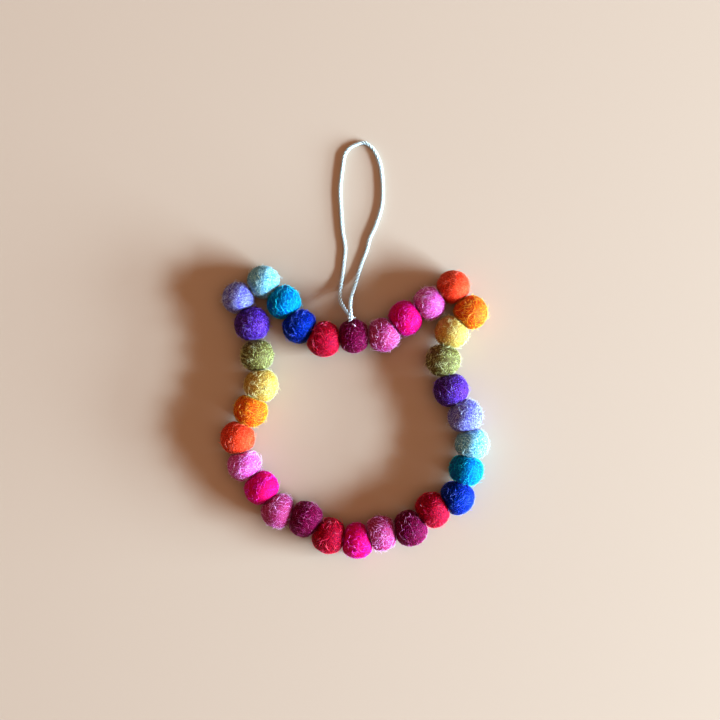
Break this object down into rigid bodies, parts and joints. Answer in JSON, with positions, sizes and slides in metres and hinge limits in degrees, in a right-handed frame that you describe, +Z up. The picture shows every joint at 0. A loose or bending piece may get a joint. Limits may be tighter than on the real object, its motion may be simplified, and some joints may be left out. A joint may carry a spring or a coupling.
{
  "type": "felt ball wreath",
  "caption": "Small wreath of rainbow felted wool balls strung side by side in a cat's head outline with two ears, with a twisted cotton hanging loop.",
  "frame": {"origin": "on the table, below the middle of the balls' outline seen from above", "axes": "+X to the wreath's right ear as seen from above, +Y towards the ears and the hanging loop, +Z up out of the table"},
  "size_m": [0.1184, 0.185, 0.0159],
  "materials": {
    "felt_plum": "matted wool",
    "felt_red": "matted wool",
    "felt_royal_blue": "matted wool",
    "felt_teal": "matted wool",
    "felt_aqua": "matted wool",
    "felt_lavender": "matted wool",
    "felt_purple": "matted wool",
    "felt_olive": "matted wool",
    "felt_yellow": "matted wool",
    "felt_orange": "matted wool",
    "felt_vermilion": "matted wool",
    "felt_orchid": "matted wool",
    "felt_hot_pink": "matted wool",
    "felt_pink_marl": "matted wool of two tones",
    "cotton": "twisted cotton"
  },
  "bodies": {
    "root": {"ball_01": "felt_plum", "ball_02": "felt_red", "ball_03": "felt_royal_blue", "ball_04": "felt_teal", "ball_05": "felt_aqua", "ball_06": "felt_lavender", "ball_07": "felt_purple", "ball_08": "felt_olive", "ball_09": "felt_yellow", "ball_10": "felt_orange", "ball_11": "felt_vermilion", "ball_12": "felt_orchid", "ball_13": "felt_hot_pink", "ball_14": "felt_pink_marl", "ball_15": "felt_plum", "ball_16": "felt_red", "ball_17": "felt_hot_pink", "ball_18": "felt_pink_marl", "ball_19": "felt_plum", "ball_20": "felt_red", "ball_21": "felt_royal_blue", "ball_22": "felt_teal", "ball_23": "felt_aqua", "ball_24": "felt_lavender", "ball_25": "felt_purple", "ball_26": "felt_olive", "ball_27": "felt_yellow", "ball_28": "felt_orange", "ball_29": "felt_vermilion", "ball_30": "felt_orchid", "ball_31": "felt_hot_pink", "ball_32": "felt_pink_marl", "hanging_loop": "cotton", "loop_knot": "cotton", "loop_tail": "cotton", "loop_stitch": "cotton"}
  },
  "joints": []
}
